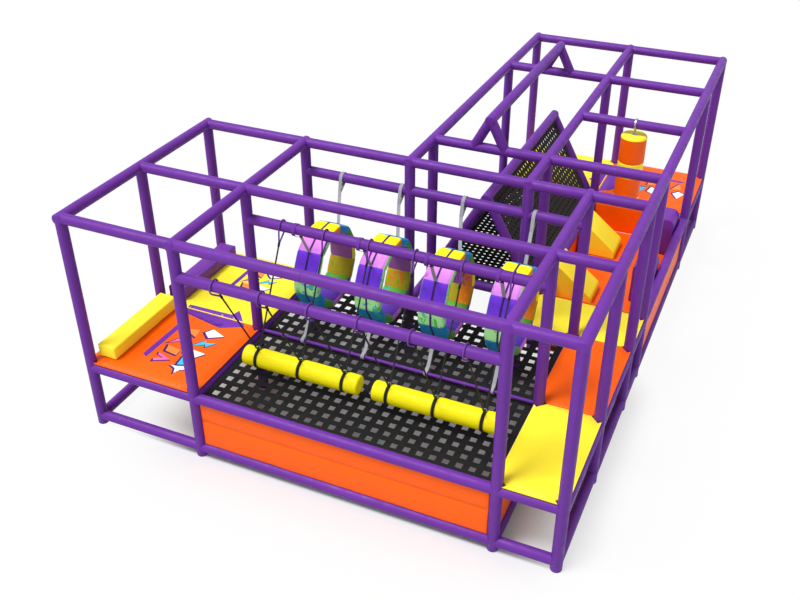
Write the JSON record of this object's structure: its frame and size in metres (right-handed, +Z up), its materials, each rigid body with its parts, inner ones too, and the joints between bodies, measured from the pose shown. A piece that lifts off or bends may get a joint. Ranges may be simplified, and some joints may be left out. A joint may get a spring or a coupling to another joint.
{
  "type": "indoor playground structure",
  "caption": "Padded tube-frame indoor playground with net floor, swinging logs, crawl hoops, sunken pit with punching bag and net-covered tunnel.",
  "frame": {"origin": "middle of the bounding box, on the floor", "axes": "+X to the right along the front, +Y to the rear, +Z up"},
  "size_m": [4.98, 6.886, 2.7735],
  "materials": {
    "foam_sleeve": "smooth purple foam tube sleeve",
    "orange_vinyl": "satin orange padded vinyl",
    "yellow_vinyl": "satin yellow padded vinyl",
    "purple_vinyl": "satin purple padded vinyl",
    "hoop_vinyl": "satin vinyl in several colours over foam",
    "black_webbing": "woven black webbing and rope",
    "grey_strapping": "woven grey strap",
    "zinc_steel": "zinc-plated steel"
  },
  "bodies": {
    "frame": {"bag_rail": "foam_sleeve", "bolster_purple": "purple_vinyl", "bolster_yellow": "yellow_vinyl", "guard_rail_front": "foam_sleeve", "guard_rail_middle": "foam_sleeve", "mat_end_left": "yellow_vinyl", "mat_end_right": "orange_vinyl", "mat_left_front": "orange_vinyl", "mat_left_rear": "yellow_vinyl", "mat_right_front": "yellow_vinyl", "mat_right_middle": "orange_vinyl", "mat_right_rear": "yellow_vinyl", "net_cross_rail": "foam_sleeve", "net_floor": "black_webbing", "pit_block_far": "purple_vinyl", "pit_block_near": "purple_vinyl", "pit_floor": "orange_vinyl", "pit_riser_front": "orange_vinyl", "pit_riser_rear": "orange_vinyl", "pit_side_left": "orange_vinyl", "pit_side_right": "orange_vinyl", "pit_wedge_far": "yellow_vinyl", "pit_wedge_near": "yellow_vinyl", "ridge_beam": "foam_sleeve", "side_frame_inner_left": "foam_sleeve", "side_frame_inner_right": "foam_sleeve", "side_frame_left": "foam_sleeve", "side_frame_pit": "foam_sleeve", "side_frame_right": "foam_sleeve", "side_frame_tunnel": "foam_sleeve", "side_frame_wing": "foam_sleeve", "skirt_front": "orange_vinyl", "skirt_side": "orange_vinyl", "top_rail_front": "foam_sleeve", "top_rail_middle": "foam_sleeve", "tunnel_frame": "foam_sleeve", "tunnel_net_floor": "black_webbing", "tunnel_net_left": "black_webbing", "tunnel_net_right": "black_webbing"},
    "rope_a1": {"rope_a1": "black_webbing"},
    "rope_a2": {"rope_a2": "black_webbing"},
    "rope_a3": {"rope_a3": "black_webbing"},
    "log_a": {"swing_log_a": "yellow_vinyl"},
    "rope_b1": {"rope_b1": "black_webbing"},
    "rope_b2": {"rope_b2": "black_webbing"},
    "rope_b3": {"rope_b3": "black_webbing"},
    "log_b": {"swing_log_b": "yellow_vinyl"},
    "hoop_1": {"crawl_hoop_1": "hoop_vinyl", "hoop_harness_1": "grey_strapping"},
    "hoop_2": {"crawl_hoop_2": "hoop_vinyl", "hoop_harness_2": "grey_strapping"},
    "hoop_3": {"crawl_hoop_3": "hoop_vinyl", "hoop_harness_3": "grey_strapping"},
    "hoop_4": {"crawl_hoop_4": "hoop_vinyl", "hoop_harness_4": "grey_strapping"},
    "bag_hanger": {"bag_hanger": "zinc_steel"},
    "bag": {"punching_bag": "yellow_vinyl"}
  },
  "joints": [
    {"name": "rope_a1_swing", "type": "hinge", "parent": "frame", "child": "rope_a1", "pos_m": [-0.825, -2.772, 2.1373], "axis": [0, 1, 0], "range_deg": [-3.5, 8]},
    {"name": "rope_a2_swing", "type": "hinge", "parent": "frame", "child": "rope_a2", "pos_m": [-0.355, -2.772, 2.1373], "axis": [0, 1, 0], "range_deg": [-3.5, 8]},
    {"name": "rope_a3_swing", "type": "hinge", "parent": "frame", "child": "rope_a3", "pos_m": [0.115, -2.772, 2.1373], "axis": [0, 1, 0], "range_deg": [-3.5, 8]},
    {"name": "log_a_level", "type": "hinge", "parent": "rope_a1", "child": "log_a", "pos_m": [-0.825, -2.772, 1.0264], "axis": [0, 1, 0], "range_deg": [-8, 3.5]},
    {"name": "rope_b1_swing", "type": "hinge", "parent": "frame", "child": "rope_b1", "pos_m": [0.575, -2.772, 2.1373], "axis": [0, 1, 0], "range_deg": [-8, 3.5]},
    {"name": "rope_b2_swing", "type": "hinge", "parent": "frame", "child": "rope_b2", "pos_m": [1.045, -2.772, 2.1373], "axis": [0, 1, 0], "range_deg": [-8, 3.5]},
    {"name": "rope_b3_swing", "type": "hinge", "parent": "frame", "child": "rope_b3", "pos_m": [1.515, -2.772, 2.1373], "axis": [0, 1, 0], "range_deg": [-8, 3.5]},
    {"name": "log_b_level", "type": "hinge", "parent": "rope_b1", "child": "log_b", "pos_m": [0.575, -2.772, 1.0264], "axis": [0, 1, 0], "range_deg": [-3.5, 8]},
    {"name": "hoop_1_sway", "type": "hinge", "parent": "frame", "child": "hoop_1", "pos_m": [-0.675, -2.177, 2.12985], "axis": [-0.083, 0.9965, 0], "range_deg": [-2, 2]},
    {"name": "hoop_2_sway", "type": "hinge", "parent": "frame", "child": "hoop_2", "pos_m": [0.012, -2.177, 2.12985], "axis": [-0.0839, 0.9965, 0], "range_deg": [-2, 2]},
    {"name": "hoop_3_sway", "type": "hinge", "parent": "frame", "child": "hoop_3", "pos_m": [0.699, -2.177, 2.12985], "axis": [-0.083, 0.9965, 0], "range_deg": [-2, 2]},
    {"name": "hoop_4_sway", "type": "hinge", "parent": "frame", "child": "hoop_4", "pos_m": [1.386, -2.177, 2.12985], "axis": [-0.0391, 0.9992, 0], "range_deg": [-2, 2]},
    {"name": "bag_hanger_swing", "type": "hinge", "parent": "frame", "child": "bag_hanger", "pos_m": [1.875, 0.918, 2.4], "axis": [1, 0, 0], "range_deg": [-30, 30]},
    {"name": "bag_swing", "type": "hinge", "parent": "bag_hanger", "child": "bag", "pos_m": [1.875, 0.918, 2.319], "axis": [0, 1, 0], "range_deg": [-25, 25]}
  ],
  "couplings": [
    {"joint": "rope_a2_swing", "follows": "rope_a1_swing", "ratio": 1},
    {"joint": "rope_a3_swing", "follows": "rope_a1_swing", "ratio": 1},
    {"joint": "log_a_level", "follows": "rope_a1_swing", "ratio": -1},
    {"joint": "rope_b2_swing", "follows": "rope_b1_swing", "ratio": 1},
    {"joint": "rope_b3_swing", "follows": "rope_b1_swing", "ratio": 1},
    {"joint": "log_b_level", "follows": "rope_b1_swing", "ratio": -1}
  ]
}
